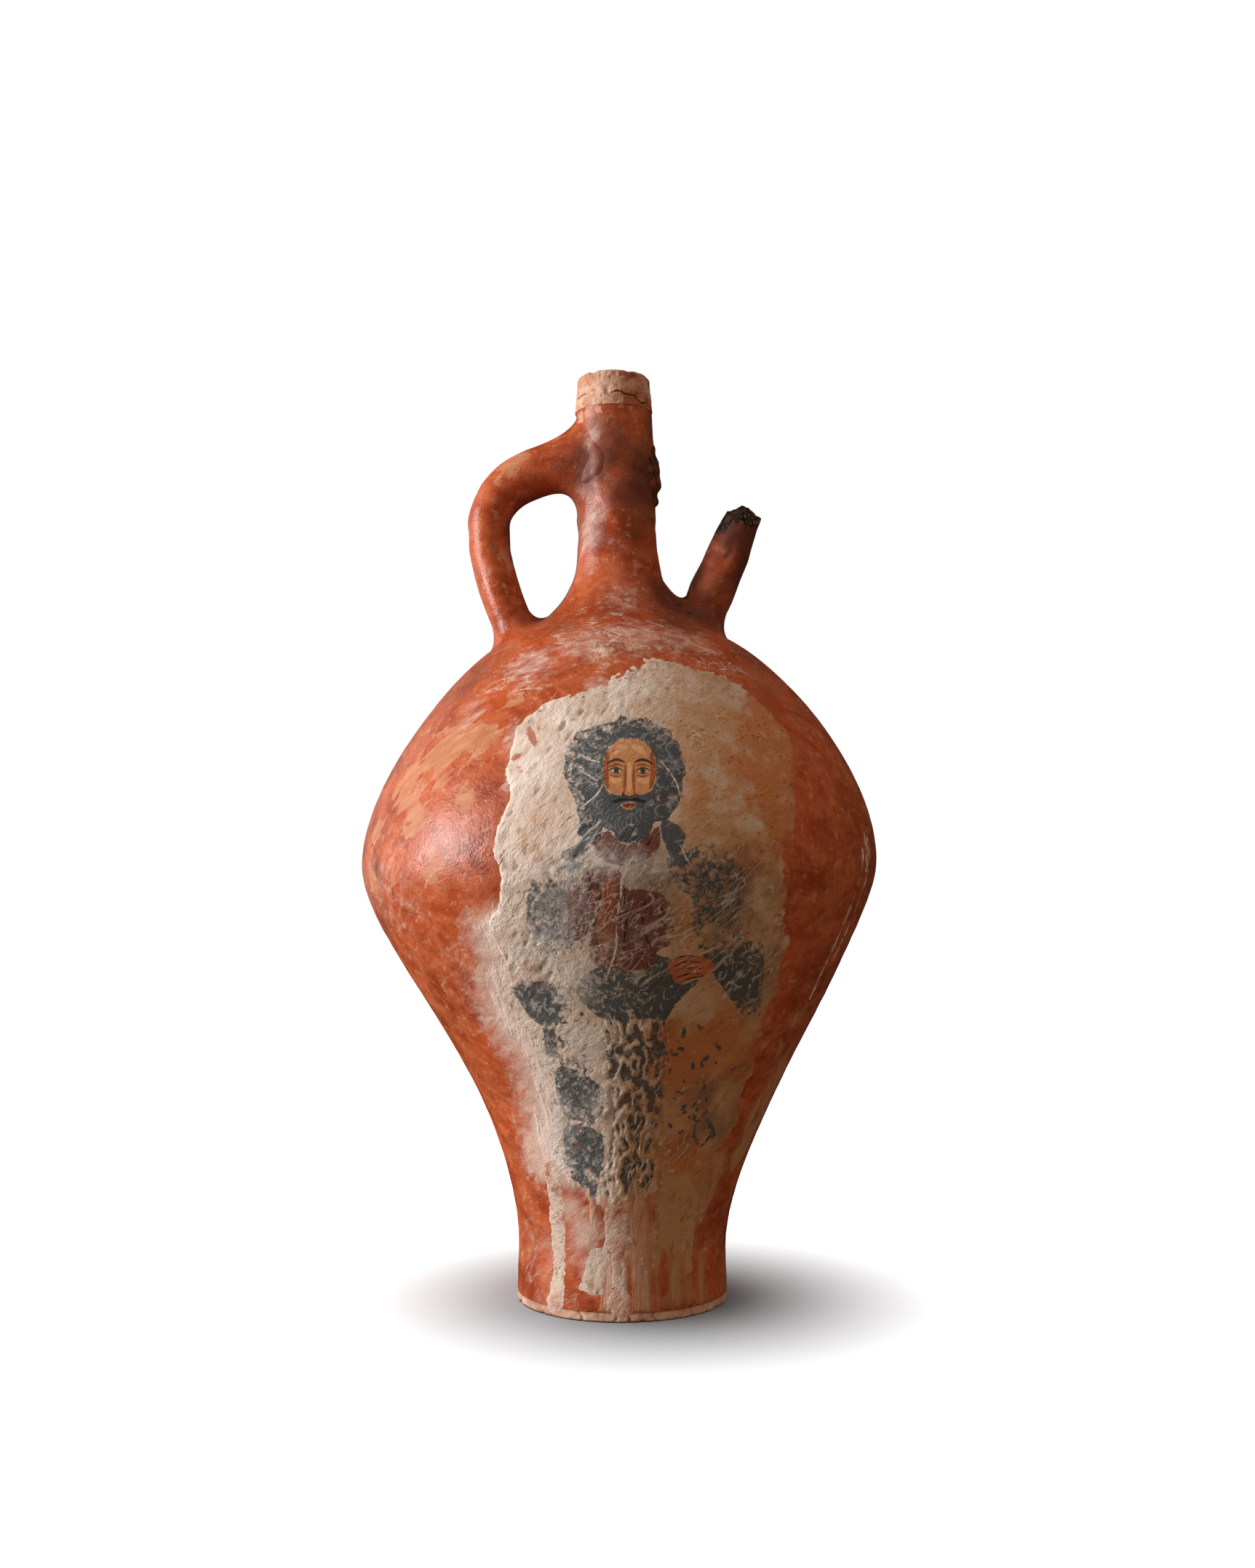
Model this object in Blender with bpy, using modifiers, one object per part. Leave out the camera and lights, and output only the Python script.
"""Two-handled clay amphora with its right handle broken off and a plastered front.

Sizes are in metres. The pot is turned about +Z, stands on z = 0, and its plastered front faces -Y.
Every thrown, rolled or plastered piece is its own object, set against its neighbours across FIT_GAP.
"""

import math

import bmesh
import bpy
from mathutils import Matrix, Vector

# Fit and fineness
FIT_GAP = 0.0003
WELD = 0.00001
TURN_STEPS = 40
ARC_SAMPLES = 48
FLANK_POINTS = 11
SHOULDER_POINTS = 9
FLARE_POINTS = 4

# Turned outline, from the foot up: each rise is measured from the station below it
FOOT_RADIUS = 0.0606
FOOT_TAPER = 0.0009
FOOT_WAIST_HEIGHT = 0.028
BELLY_RADIUS = 0.1473
BELLY_RISE = 0.222
SHOULDER_RADIUS = 0.0628
SHOULDER_RISE = 0.128
SHOULDER_SLOPE = math.radians(25.5)
NECK_RADIUS = 0.0226
NECK_FLARE_RISE = 0.062
NECK_TOP_RADIUS = 0.0219
NECK_LENGTH = 0.070
COLLAR_TOP_RADIUS = 0.0207
COLLAR_HEIGHT = 0.020
LIP_ROUND = 0.002

# How long each curve of the outline holds its end directions, as a share of that curve's rise
FLANK_FOOT_PULL = 0.37
FLANK_BELLY_PULL = 0.19
BELLY_PULL = 0.365
SHOULDER_PULL = 0.285
FLARE_PULL = 0.64
NECK_PULL = 0.39

# Walls, floor and the joints between the thrown sections
WALL = 0.0065
FOOT_DISC_HEIGHT = 0.0055
FOOT_EDGE_ROUND = 0.0015
FLOOR_THICKNESS = 0.011
NECK_JOINT_RISE = 0.022
KEY_DEPTH = 0.0025
COIL_HALF_HEIGHT = 0.009
COIL_BULGE = 0.004
FLOOR_COIL_SIZE = 0.010

# Whole handle, on the left
HANDLE_THICKNESS = 0.0235
HANDLE_WIDTH = 0.027
HANDLE_REACH = 0.0740
HANDLE_REACH_BELOW_RIM = 0.090
HANDLE_TOP_BELOW_RIM = 0.0455
HANDLE_TOP_SLOPE = math.radians(14)
HANDLE_ROOT_RADIUS = 0.0578
HANDLE_ROOT_LEAN = math.radians(19)
HANDLE_BURY = 0.004
HANDLE_TOP_SWELL = 1.42
HANDLE_ROOT_SWELL = 1.04
HANDLE_TOP_STRAIGHT = 0.041
HANDLE_REACH_STRAIGHT = 0.025
HANDLE_ROOT_STRAIGHT = 0.0185

# Tongue of clay that the whole handle's upper end was pressed into
PAD_THICKNESS = 0.0030
PAD_WIDTH = 0.029
PAD_HEIGHT = 0.045
PAD_TURN = math.radians(28)

# Broken handle, on the right: its stump on the shoulder and its scar on the neck
STUMP_ROOT_RADIUS = 0.046
STUMP_LENGTH = 0.0755
STUMP_LEAN = math.radians(23.4)
STUMP_ROOT_SWELL = 0.98
STUMP_TIP_SWELL = 0.85
BREAK_OFFSET = 0.0035
SCAR_BELOW_RIM = 0.057
SCAR_HEIGHT = 0.048
SCAR_WIDTH = 0.028
SCAR_PROUD = 0.0030
SCAR_SEAT = 0.006

# Smoothed collars of clay around the feet of both handles
ROOT_FLARE = 0.0075
ROOT_FLARE_HEIGHT = 0.012
ROOT_EDGE = 0.0010

# Plaster on the front
PLASTER_THICKNESS = 0.0018
RUN_THICKNESS = 0.0010

# Stations that follow from the rises
BELLY_HEIGHT = FOOT_WAIST_HEIGHT + BELLY_RISE
SHOULDER_HEIGHT = BELLY_HEIGHT + SHOULDER_RISE
NECK_HEIGHT = SHOULDER_HEIGHT + NECK_FLARE_RISE
COLLAR_BASE = NECK_HEIGHT + NECK_LENGTH
TOTAL_HEIGHT = COLLAR_BASE + COLLAR_HEIGHT
NECK_JOINT_HEIGHT = SHOULDER_HEIGHT + NECK_JOINT_RISE
ROD_RADIUS = HANDLE_THICKNESS / 2

# Edge of the plaster panel: (degrees round the pot from its front, height) points on a smooth closed curve
PANEL_EDGE = (
    (-19, 0.336), (-26, 0.321), (-26, 0.300), (-23.5, 0.281), (-25.5, 0.262),
    (-24.5, 0.236), (-28.5, 0.217), (-28, 0.200), (-34, 0.176), (-30, 0.147),
    (-32, 0.120), (-38, 0.084), (-24.5, 0.072), (-11, 0.060), (7, 0.064),
    (27, 0.066), (47, 0.084), (52, 0.120), (47, 0.172), (43.5, 0.210),
    (37, 0.248), (42.5, 0.282), (50, 0.326), (37, 0.349), (19, 0.361),
    (-1, 0.350),
)

# Runs of plaster: degrees round the pot from its front, heights of the top and the bottom, and width
RUNS = {
    "plaster_run_left": (-36, 0.066, 0.008, 0.0100),
    "plaster_blob": (-15, 0.046, 0.014, 0.0110),
    "plaster_run_centre": (1, 0.054, 0.007, 0.0090),
    "plaster_run_right": (26, 0.056, 0.009, 0.0240),
    "plaster_run_side": (66, 0.264, 0.176, 0.0100),
}

# Colours as sRGB, with roughness
FINISHES = {
    "slipped_clay": ((0.66, 0.31, 0.20), 0.38),
    "bare_clay": ((0.79, 0.60, 0.47), 0.85),
    "inner_clay": ((0.70, 0.45, 0.33), 0.90),
    "burnt_core": ((0.20, 0.15, 0.12), 0.90),
    "plaster": ((0.80, 0.72, 0.64), 0.75),
}


def clear_scene():
    """Removes what the startup scene holds."""
    for obj in list(bpy.data.objects):
        bpy.data.objects.remove(obj, do_unlink=True)


def new_collection(name):
    """A collection of that name, linked to the scene."""
    collection = bpy.data.collections.new(name)
    bpy.context.scene.collection.children.link(collection)
    return collection


def to_linear(channel):
    """One sRGB channel as the linear value that a shader takes."""
    if channel <= 0.04045:
        return channel / 12.92
    return ((channel + 0.055) / 1.055) ** 2.4


def finish_material(name):
    """The Principled material of that finish, made once."""
    material = bpy.data.materials.get(name)
    if material is None:
        colour, roughness = FINISHES[name]
        material = bpy.data.materials.new(name)
        material.use_nodes = True
        shader = material.node_tree.nodes["Principled BSDF"]
        shader.inputs["Base Color"].default_value = [*map(to_linear, colour), 1.0]
        shader.inputs["Roughness"].default_value = roughness
        shader.inputs["Metallic"].default_value = 0.0
    return material


def add_object(name, mesh, collection, finish=None):
    """An object of that mesh, shaded smooth where its faces nearly meet."""
    obj = bpy.data.objects.new(name, mesh)
    collection.objects.link(obj)
    mesh.shade_smooth()
    mesh.set_sharp_from_angle(angle=math.radians(40))
    if finish:
        mesh.materials.append(finish_material(finish))
    return obj


def add_cutter(name, mesh):
    """A helper that only cuts other pieces."""
    obj = add_object(name, mesh, CUTTERS)
    obj.hide_render = True
    obj.display_type = "WIRE"
    return obj


def cut(obj, cutter, operation="DIFFERENCE"):
    """Lets the cutter trim the object."""
    modifier = obj.modifiers.new(operation.title(), "BOOLEAN")
    modifier.operation = operation
    modifier.object = cutter


def mesh_from(bm, name):
    """A mesh with that bmesh's contents."""
    mesh = bpy.data.meshes.new(name)
    bm.to_mesh(mesh)
    bm.free()
    return mesh


def curve_to_mesh(curve, name, stretch=(1.0, 1.0, 1.0)):
    """The curve's solid as a welded mesh, stretched along the axes."""
    obj = bpy.data.objects.new(name, curve)
    bpy.context.scene.collection.objects.link(obj)
    graph = bpy.context.evaluated_depsgraph_get()
    mesh = bpy.data.meshes.new_from_object(obj.evaluated_get(graph))
    bpy.data.objects.remove(obj, do_unlink=True)
    bm = bmesh.new()
    bm.from_mesh(mesh)
    bmesh.ops.remove_doubles(bm, verts=bm.verts, dist=WELD)
    bmesh.ops.scale(bm, vec=stretch, verts=bm.verts)
    bmesh.ops.recalc_face_normals(bm, faces=bm.faces)
    bm.to_mesh(mesh)
    bm.free()
    return mesh


def turned(name, section, collection, finish=None, closed=True):
    """A piece turned about Z from (radius, height) points that run down the outside."""
    mesh = bpy.data.meshes.new(name)
    edges = [(i, i + 1) for i in range(len(section) - 1)]
    if closed:
        edges.append((len(section) - 1, 0))
    mesh.from_pydata([(radius, 0.0, height) for radius, height in section], edges, [])
    if collection is CUTTERS:
        obj = add_cutter(name, mesh)
    else:
        obj = add_object(name, mesh, collection, finish)
    screw = obj.modifiers.new("Turn", "SCREW")
    screw.axis = "Z"
    screw.steps = TURN_STEPS
    screw.render_steps = TURN_STEPS
    screw.use_merge_vertices = True
    screw.merge_threshold = WELD
    screw.use_smooth_shade = True
    return obj


# Outline of the pot


def arc(start, start_pull, end_pull, end):
    """Points of one cubic arc, from its start up to but not including its end."""
    points = []
    for i in range(ARC_SAMPLES):
        t = i / ARC_SAMPLES
        s = 1 - t
        points.append(start * s**3 + start_pull * 3 * s * s * t + end_pull * 3 * s * t * t + end * t**3)
    return points


def smooth_outline():
    """The turned outline as closely spaced (radius, height) points, from the foot to the rim."""
    up = Vector((0, 1))
    inward = Vector((-math.cos(SHOULDER_SLOPE), math.sin(SHOULDER_SLOPE)))
    foot = Vector((FOOT_RADIUS, 0))
    waist = Vector((FOOT_RADIUS - FOOT_TAPER, FOOT_WAIST_HEIGHT))
    belly = Vector((BELLY_RADIUS, BELLY_HEIGHT))
    shoulder = Vector((SHOULDER_RADIUS, SHOULDER_HEIGHT))
    neck = Vector((NECK_RADIUS, NECK_HEIGHT))
    foot_pull = up * FLANK_FOOT_PULL * BELLY_RISE
    under_belly_pull = up * FLANK_BELLY_PULL * BELLY_RISE
    over_belly_pull = up * BELLY_PULL * SHOULDER_RISE
    shoulder_pull = inward * SHOULDER_PULL * SHOULDER_RISE
    flare_pull = inward * FLARE_PULL * NECK_FLARE_RISE
    neck_pull = up * NECK_PULL * NECK_FLARE_RISE
    points = [foot]
    points += arc(waist, waist + foot_pull, belly - under_belly_pull, belly)
    points += arc(belly, belly + over_belly_pull, shoulder - shoulder_pull, shoulder)
    points += arc(shoulder, shoulder + flare_pull, neck - neck_pull, neck)
    points += [neck, Vector((NECK_TOP_RADIUS, COLLAR_BASE)), Vector((COLLAR_TOP_RADIUS, TOTAL_HEIGHT))]
    return points


def along(points, height):
    """The point at that height on a rising line of points."""
    for low, high in zip(points, points[1:]):
        if height <= high.y:
            break
    return low.lerp(high, (height - low.y) / (high.y - low.y))


def even_points(points, low, high, count):
    """Points between two heights of the line, evenly spaced along it, both ends included."""
    fine = [along(points, low + (high - low) * i / ARC_SAMPLES) for i in range(ARC_SAMPLES + 1)]
    travelled = [0.0]
    for a, b in zip(fine, fine[1:]):
        travelled.append(travelled[-1] + (b - a).length)
    chosen = []
    for i in range(count):
        wanted = travelled[-1] * i / (count - 1)
        at = max(k for k in range(ARC_SAMPLES) if travelled[k] <= wanted)
        share = (wanted - travelled[at]) / (travelled[at + 1] - travelled[at])
        chosen.append(fine[at].lerp(fine[at + 1], share))
    return chosen


def faceted_outline():
    """The outline as the few points that every piece of the pot is turned from."""
    smooth = smooth_outline()
    half = COIL_HALF_HEIGHT / 2
    over_belly = BELLY_HEIGHT + COIL_HALF_HEIGHT
    under_neck = NECK_JOINT_HEIGHT - COIL_HALF_HEIGHT
    over_neck = NECK_JOINT_HEIGHT + COIL_HALF_HEIGHT
    points = [smooth[0]]
    points += even_points(smooth, FOOT_WAIST_HEIGHT, BELLY_HEIGHT - COIL_HALF_HEIGHT, FLANK_POINTS)
    points += [along(smooth, height) for height in (BELLY_HEIGHT - half, BELLY_HEIGHT, BELLY_HEIGHT + half)]
    points += even_points(smooth, over_belly, under_neck, SHOULDER_POINTS)
    points += [along(smooth, height) for height in (NECK_JOINT_HEIGHT - half, NECK_JOINT_HEIGHT)]
    points += even_points(smooth, over_neck, NECK_HEIGHT, FLARE_POINTS)
    points += smooth[-2:]
    return points


OUTLINE = faceted_outline()


def radius_at(height):
    """The pot's outer radius at that height."""
    return along(OUTLINE, height).x


def height_at(radius):
    """The height on the shoulder where the outer radius is this."""
    for low, high in zip(OUTLINE, OUTLINE[1:]):
        if low.y >= BELLY_HEIGHT and low.x >= radius >= high.x:
            return low.lerp(high, (low.x - radius) / (low.x - high.x)).y
    raise ValueError("the shoulder has no such radius")


def rise_at(height):
    """The outline's upward directions just below and just above that height."""
    below = above = None
    for low, high in zip(OUTLINE, OUTLINE[1:]):
        if below is None and height <= high.y + WELD:
            below = (high - low).normalized()
        if height >= low.y - WELD:
            above = (high - low).normalized()
    return below, above


def wall_point(height, depth):
    """The point at that height, this far into the wall, or out of it where depth is negative."""
    below, above = rise_at(height)
    up = (below + above).normalized()
    mitre = depth / up.dot(above)
    return along(OUTLINE, height) - Vector((up.y, -up.x)) * mitre


def band(low, high, outside, inside):
    """Outer points down and inner points up, of a layer between two depths of the wall."""
    heights = [low] + [point.y for point in OUTLINE if low + WELD < point.y < high - WELD] + [high]
    outer = [wall_point(height, outside) for height in reversed(heights)]
    inner = [wall_point(height, inside) for height in heights]
    return outer, inner


def key_point(height):
    """Bottom of the V that keys two thrown sections together at that height."""
    return wall_point(height, WALL / 2) - rise_at(height)[1] * KEY_DEPTH


def keyed_edge(height):
    """Lower edge of the section above a joint, from outside to inside, clear of the V below it."""
    lift = rise_at(height)[1] * FIT_GAP * math.hypot(WALL / 2, KEY_DEPTH) / (WALL / 2)
    edge = (wall_point(height, 0), key_point(height), wall_point(height, WALL))
    return [point + lift for point in edge]


# Thrown pieces


def make_foot_disc():
    """Floor slab, with a step around it that the lower wall stands on."""
    plug_radius = radius_at(FLOOR_THICKNESS) - WALL - 2 * FIT_GAP
    section = [
        (0, FLOOR_THICKNESS),
        (plug_radius, FLOOR_THICKNESS),
        (plug_radius, FOOT_DISC_HEIGHT),
        (radius_at(FOOT_DISC_HEIGHT), FOOT_DISC_HEIGHT),
        (FOOT_RADIUS, FOOT_EDGE_ROUND),
        (FOOT_RADIUS - FOOT_EDGE_ROUND, 0),
        (0, 0),
    ]
    return turned("foot_disc", section, PARTS, "bare_clay", closed=False)


def make_lower_wall():
    """Lower half of the body, from the foot disc to the belly joint."""
    low = FOOT_DISC_HEIGHT + FIT_GAP
    outer, inner = band(low, BELLY_HEIGHT, 0, WALL)
    inner[0] = Vector((outer[-1].x - WALL, low))
    section = outer + inner + [key_point(BELLY_HEIGHT)]
    return turned("lower_wall", section, PARTS, "slipped_clay")


def make_keyed_wall(name, low, high):
    """A thrown section whose lower edge is keyed into the one below and that takes the one above."""
    outer, inner = band(low, high, 0, WALL)
    section = outer[:-1] + keyed_edge(low) + inner[1:] + [key_point(high)]
    return turned(name, section, PARTS, "slipped_clay")


def make_rim_collar():
    """Bare band of clay at the mouth, with a rounded outer lip."""
    top_inner = Vector((COLLAR_TOP_RADIUS - WALL, TOTAL_HEIGHT))
    lip = [
        Vector((COLLAR_TOP_RADIUS - LIP_ROUND, TOTAL_HEIGHT)),
        Vector((COLLAR_TOP_RADIUS - LIP_ROUND * 0.3, TOTAL_HEIGHT - LIP_ROUND * 0.3)),
        along(OUTLINE, TOTAL_HEIGHT - LIP_ROUND),
    ]
    section = lip + keyed_edge(COLLAR_BASE) + [top_inner]
    return turned("rim_collar", section, PARTS, "bare_clay")


# Coils pressed into the seams from inside


def make_seam_coil(name, height):
    """Half-round coil pressed along the inside of a wall joint."""
    _, inner = band(height - COIL_HALF_HEIGHT, height + COIL_HALF_HEIGHT, 0, WALL + FIT_GAP)
    bulge = []
    for turn in (0.25, 0.5, 0.75):
        depth = WALL + FIT_GAP + COIL_BULGE * math.sin(math.pi * turn)
        bulge.append(wall_point(height - COIL_HALF_HEIGHT * math.cos(math.pi * turn), depth))
    section = list(reversed(inner)) + bulge
    return turned(name, section, PARTS, "inner_clay")


def make_floor_coil():
    """Coil in the corner between the floor and the lower wall."""
    low = FLOOR_THICKNESS + FIT_GAP
    corner = wall_point(low, WALL + FIT_GAP).x
    top = wall_point(low + FLOOR_COIL_SIZE, WALL + FIT_GAP)
    middle = Vector((corner - FLOOR_COIL_SIZE * 0.4, low + FLOOR_COIL_SIZE * 0.4))
    section = [top, Vector((corner, low)), Vector((corner - FLOOR_COIL_SIZE, low)), middle]
    return turned("floor_coil", section, PARTS, "inner_clay")


# Handles


def rod_mesh(name, stops, gap):
    """A clay rod through (point, outgoing direction, pull, swell) stops, with its gap around it."""
    curve = bpy.data.curves.new(name, "CURVE")
    curve.dimensions = "3D"
    curve.bevel_depth = ROD_RADIUS + gap
    curve.bevel_resolution = 4
    curve.resolution_u = 6
    curve.use_fill_caps = True
    spline = curve.splines.new("BEZIER")
    spline.bezier_points.add(len(stops) - 1)
    for bezier_point, (place, direction, pull, swell) in zip(spline.bezier_points, stops):
        bezier_point.co = place
        bezier_point.handle_left = place - direction * pull
        bezier_point.handle_right = place + direction * pull
        bezier_point.radius = swell
    return curve_to_mesh(curve, name, (1.0, HANDLE_WIDTH / HANDLE_THICKNESS, 1.0))


def shoulder_seat(radius, side):
    """The point on the shoulder at that radius, on the left (-1) or right (+1), and its normal."""
    height = height_at(radius)
    up = rise_at(height)[0]
    return Vector((side * radius, 0, height)), Vector((side * up.y, 0, -up.x))


def handle_stops():
    """Path of the whole handle, from inside the neck, over the reach, into the shoulder."""
    top_height = TOTAL_HEIGHT - HANDLE_TOP_BELOW_RIM
    reach_height = TOTAL_HEIGHT - HANDLE_REACH_BELOW_RIM
    neck_radius = radius_at(top_height)
    start = Vector((-(neck_radius - HANDLE_BURY), 0, top_height))
    out = Vector((-math.cos(HANDLE_TOP_SLOPE), 0, -math.sin(HANDLE_TOP_SLOPE)))
    reach = Vector((-HANDLE_REACH, 0, reach_height))
    root, _ = shoulder_seat(HANDLE_ROOT_RADIUS, -1)
    down = Vector((math.sin(HANDLE_ROOT_LEAN), 0, -math.cos(HANDLE_ROOT_LEAN)))
    return [
        (start, out, HANDLE_TOP_STRAIGHT, HANDLE_TOP_SWELL),
        (reach, Vector((0, 0, -1)), HANDLE_REACH_STRAIGHT, 1.0),
        (root + down * HANDLE_BURY, down, HANDLE_ROOT_STRAIGHT, HANDLE_ROOT_SWELL),
    ]


def stump_axis():
    """Foot of the broken handle's stump on the shoulder and the way that it leans."""
    root, _ = shoulder_seat(STUMP_ROOT_RADIUS, 1)
    return root, Vector((math.sin(STUMP_LEAN), 0, math.cos(STUMP_LEAN)))


def stump_stops():
    """Path of the stump, from inside the shoulder to past its break."""
    root, lean = stump_axis()
    pull = STUMP_LENGTH / 3
    return [
        (root - lean * HANDLE_BURY, lean, pull, STUMP_ROOT_SWELL),
        (root + lean * (STUMP_LENGTH + ROD_RADIUS), lean, pull, STUMP_TIP_SWELL),
    ]


def break_planes():
    """Planes of the stump's fracture, as (point, outward normal) pairs that meet at its highest point."""
    root, lean = stump_axis()
    peak = root + lean * STUMP_LENGTH - Vector((BREAK_OFFSET, 0, 0))
    return [
        (peak, Vector((-0.60, -0.36, 0.71))),
        (peak, Vector((0.62, -0.36, 0.70))),
        (peak, Vector((0.05, 0.80, 0.60))),
    ]


def slice_off(mesh, planes):
    """Cuts the mesh back to the planes and closes each cut."""
    bm = bmesh.new()
    bm.from_mesh(mesh)
    for place, normal in planes:
        everything = [*bm.verts, *bm.edges, *bm.faces]
        bmesh.ops.bisect_plane(bm, geom=everything, plane_co=place, plane_no=normal, clear_outer=True)
        bmesh.ops.holes_fill(bm, edges=bm.edges)
    bmesh.ops.recalc_face_normals(bm, faces=bm.faces)
    bm.to_mesh(mesh)
    bm.free()


def make_handle_rod():
    """The whole handle, seated on the neck and the shoulder."""
    obj = add_object("handle_rod", rod_mesh("handle_rod", handle_stops(), 0), PARTS, "slipped_clay")
    cut(obj, ENVELOPE)
    return obj


def make_stump_rod():
    """What is left of the broken handle above the shoulder."""
    mesh = rod_mesh("stump_rod", stump_stops(), 0)
    slice_off(mesh, break_planes())
    obj = add_object("stump_rod", mesh, PARTS, "slipped_clay")
    cut(obj, ENVELOPE)
    return obj


def make_root_collar(name, radius, side, swell, rod_cutter):
    """Concave collar of clay smoothed around a handle's foot on the shoulder."""
    seat, normal = shoulder_seat(radius, side)
    widest = ROD_RADIUS * swell + ROOT_FLARE
    narrowest = ROD_RADIUS * swell + ROOT_EDGE
    section = [(0, ROOT_FLARE_HEIGHT)]
    for turn in range(6):
        angle = math.pi / 2 * (1 - turn / 5)
        section.append((
            widest - (widest - narrowest) * math.sin(angle),
            ROOT_EDGE + (ROOT_FLARE_HEIGHT - ROOT_EDGE) * (1 - math.cos(angle)),
        ))
    section += [(widest, -ROOT_FLARE), (0, -ROOT_FLARE)]
    obj = turned(name, section, PARTS, "slipped_clay", closed=False)
    turn = Vector((0, 0, 1)).rotation_difference(normal)
    widen = Matrix.Diagonal((1.0, HANDLE_WIDTH / HANDLE_THICKNESS, 1.0, 1.0))
    obj.matrix_world = Matrix.Translation(seat) @ turn.to_matrix().to_4x4() @ widen
    cut(obj, ENVELOPE)
    cut(obj, rod_cutter)
    return obj


def make_handle_pad(rod_cutter):
    """Tongue of the whole handle's upper end, pressed round the front of the neck."""
    middle = TOTAL_HEIGHT - HANDLE_TOP_BELOW_RIM
    margin = PAD_HEIGHT * 0.6
    outer, inner = band(middle - margin, middle + margin, -FIT_GAP - PAD_THICKNESS, -FIT_GAP)
    obj = turned("handle_pad", outer + inner, PARTS, "slipped_clay")
    outline = []
    for i in range(10):
        angle = 2 * math.pi * i / 10
        outline.append((PAD_WIDTH / 2 * math.cos(angle), PAD_HEIGHT / 2 * math.sin(angle)))
    prism = outline_prism("pad_outline", outline)
    facing = Matrix.Rotation(-math.pi / 2 + PAD_TURN, 4, "Z")
    prism.matrix_world = Matrix.Translation((0, 0, middle)) @ facing
    cut(obj, prism, "INTERSECT")
    cut(obj, rod_cutter)
    return obj


def make_neck_scar():
    """Rough remains of the broken handle's upper end on the neck."""
    bm = bmesh.new()
    bmesh.ops.create_icosphere(bm, subdivisions=2, radius=1.0)
    for vert in bm.verts:
        place = vert.co.copy()
        ripple = math.sin(7 * place.z + 2 * place.y) * math.cos(5 * place.y - 3 * place.z)
        vert.co.x = place.x * (1 + 0.30 * ripple)
    height = TOTAL_HEIGHT - SCAR_BELOW_RIM
    size = Vector((SCAR_PROUD + SCAR_SEAT, SCAR_WIDTH / 2, SCAR_HEIGHT / 2))
    bmesh.ops.scale(bm, vec=size, verts=bm.verts)
    bmesh.ops.translate(bm, vec=(radius_at(height) - SCAR_SEAT, 0, height), verts=bm.verts)
    obj = add_object("neck_scar", mesh_from(bm, "neck_scar"), PARTS, "burnt_core")
    cut(obj, ENVELOPE)
    return obj


# Plaster


def outline_prism(name, outline):
    """A prism of that (across, height) outline that reaches forwards, to -Y, from the pot's axis."""
    reach = 2 * BELLY_RADIUS
    curve = bpy.data.curves.new(name, "CURVE")
    curve.dimensions = "2D"
    curve.fill_mode = "BOTH"
    curve.extrude = reach / 2
    curve.resolution_u = 3
    spline = curve.splines.new("BEZIER")
    spline.use_cyclic_u = True
    spline.bezier_points.add(len(outline) - 1)
    for bezier_point, (across, height) in zip(spline.bezier_points, outline):
        bezier_point.co = (across, height, 0)
        bezier_point.handle_left_type = "AUTO"
        bezier_point.handle_right_type = "AUTO"
    mesh = curve_to_mesh(curve, name)
    mesh.transform(Matrix.Translation((0, -reach / 2, 0)) @ Matrix.Rotation(math.pi / 2, 4, "X"))
    return add_cutter(name, mesh)


def front_point(degrees, height, along_wall=0.0):
    """Where a point of the wall is seen from the front, moved along the wall by a short way."""
    turn = math.radians(degrees)
    return radius_at(height) * math.sin(turn) + along_wall * math.cos(turn), height


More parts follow.
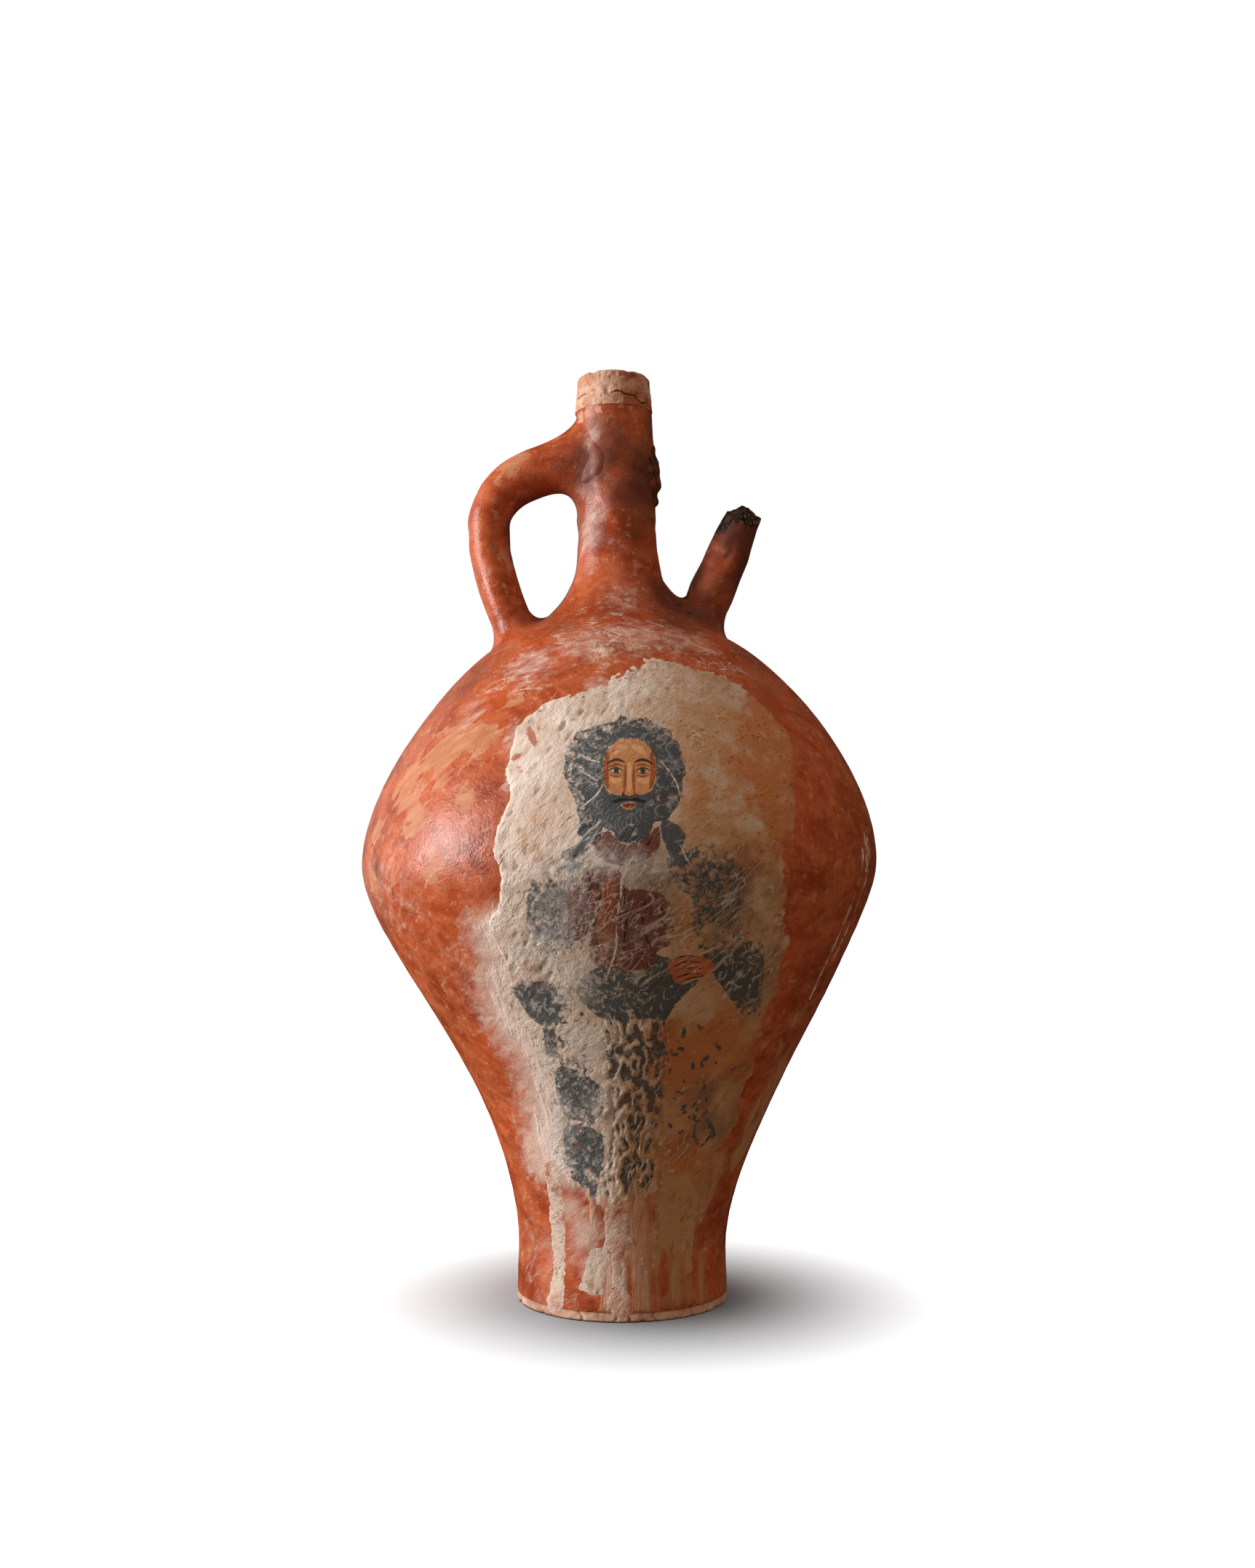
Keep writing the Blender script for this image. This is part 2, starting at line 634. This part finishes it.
def run_outline(degrees, top, bottom, width):
    """Outline of a run of plaster that swells a little towards its rounded lower end."""
    half = width / 2
    stops = []
    for share in (0, 0.3, 0.6, 0.9):
        stops.append((top + (bottom + half - top) * share, half * (0.75 + 0.25 * share)))
    stops.append((bottom + half * 0.2, half * 0.6))
    right = [front_point(degrees, height, reach) for height, reach in stops]
    left = [front_point(degrees, height, -reach) for height, reach in reversed(stops)]
    return right + [front_point(degrees, bottom)] + left


def make_plaster(name, outline, thickness):
    """A coat of plaster on the front of the pot, inside that outline."""
    margin = 2 * FIT_GAP
    low = max(FOOT_DISC_HEIGHT, min(height for _, height in outline) - margin)
    high = max(height for _, height in outline) + margin
    outer, inner = band(low, high, -FIT_GAP - thickness, -FIT_GAP)
    obj = turned(name, outer + inner, PARTS, "plaster")
    cut(obj, outline_prism(name + "_outline", outline), "INTERSECT")
    return obj


clear_scene()
PARTS = new_collection("amphora")
CUTTERS = new_collection("cutters")

# Solid of the whole pot with the fit gap around it, which trims what is seated on the outside
envelope_side, _ = band(0, TOTAL_HEIGHT, -FIT_GAP, 0)
ENVELOPE = turned(
    "pot_envelope",
    [(0, TOTAL_HEIGHT), *envelope_side, (0, 0)],
    CUTTERS,
    closed=False,
)
HANDLE_CUTTER = add_cutter("handle_cutter", rod_mesh("handle_cutter", handle_stops(), FIT_GAP))
STUMP_CUTTER = add_cutter("stump_cutter", rod_mesh("stump_cutter", stump_stops(), FIT_GAP))

make_foot_disc()
make_floor_coil()
make_lower_wall()
make_seam_coil("belly_coil", BELLY_HEIGHT)
make_keyed_wall("shoulder_wall", BELLY_HEIGHT, NECK_JOINT_HEIGHT)
make_seam_coil("neck_coil", NECK_JOINT_HEIGHT)
make_keyed_wall("neck_tube", NECK_JOINT_HEIGHT, COLLAR_BASE)
make_rim_collar()

make_handle_rod()
make_handle_pad(HANDLE_CUTTER)
make_root_collar("handle_root_collar", HANDLE_ROOT_RADIUS, -1, HANDLE_ROOT_SWELL, HANDLE_CUTTER)
make_stump_rod()
make_root_collar("stump_root_collar", STUMP_ROOT_RADIUS, 1, STUMP_ROOT_SWELL, STUMP_CUTTER)
make_neck_scar()

panel_outline = [front_point(degrees, height) for degrees, height in PANEL_EDGE]
make_plaster("plaster_panel", panel_outline, PLASTER_THICKNESS)
for run_name, run_sizes in RUNS.items():
    make_plaster(run_name, run_outline(*run_sizes), RUN_THICKNESS)
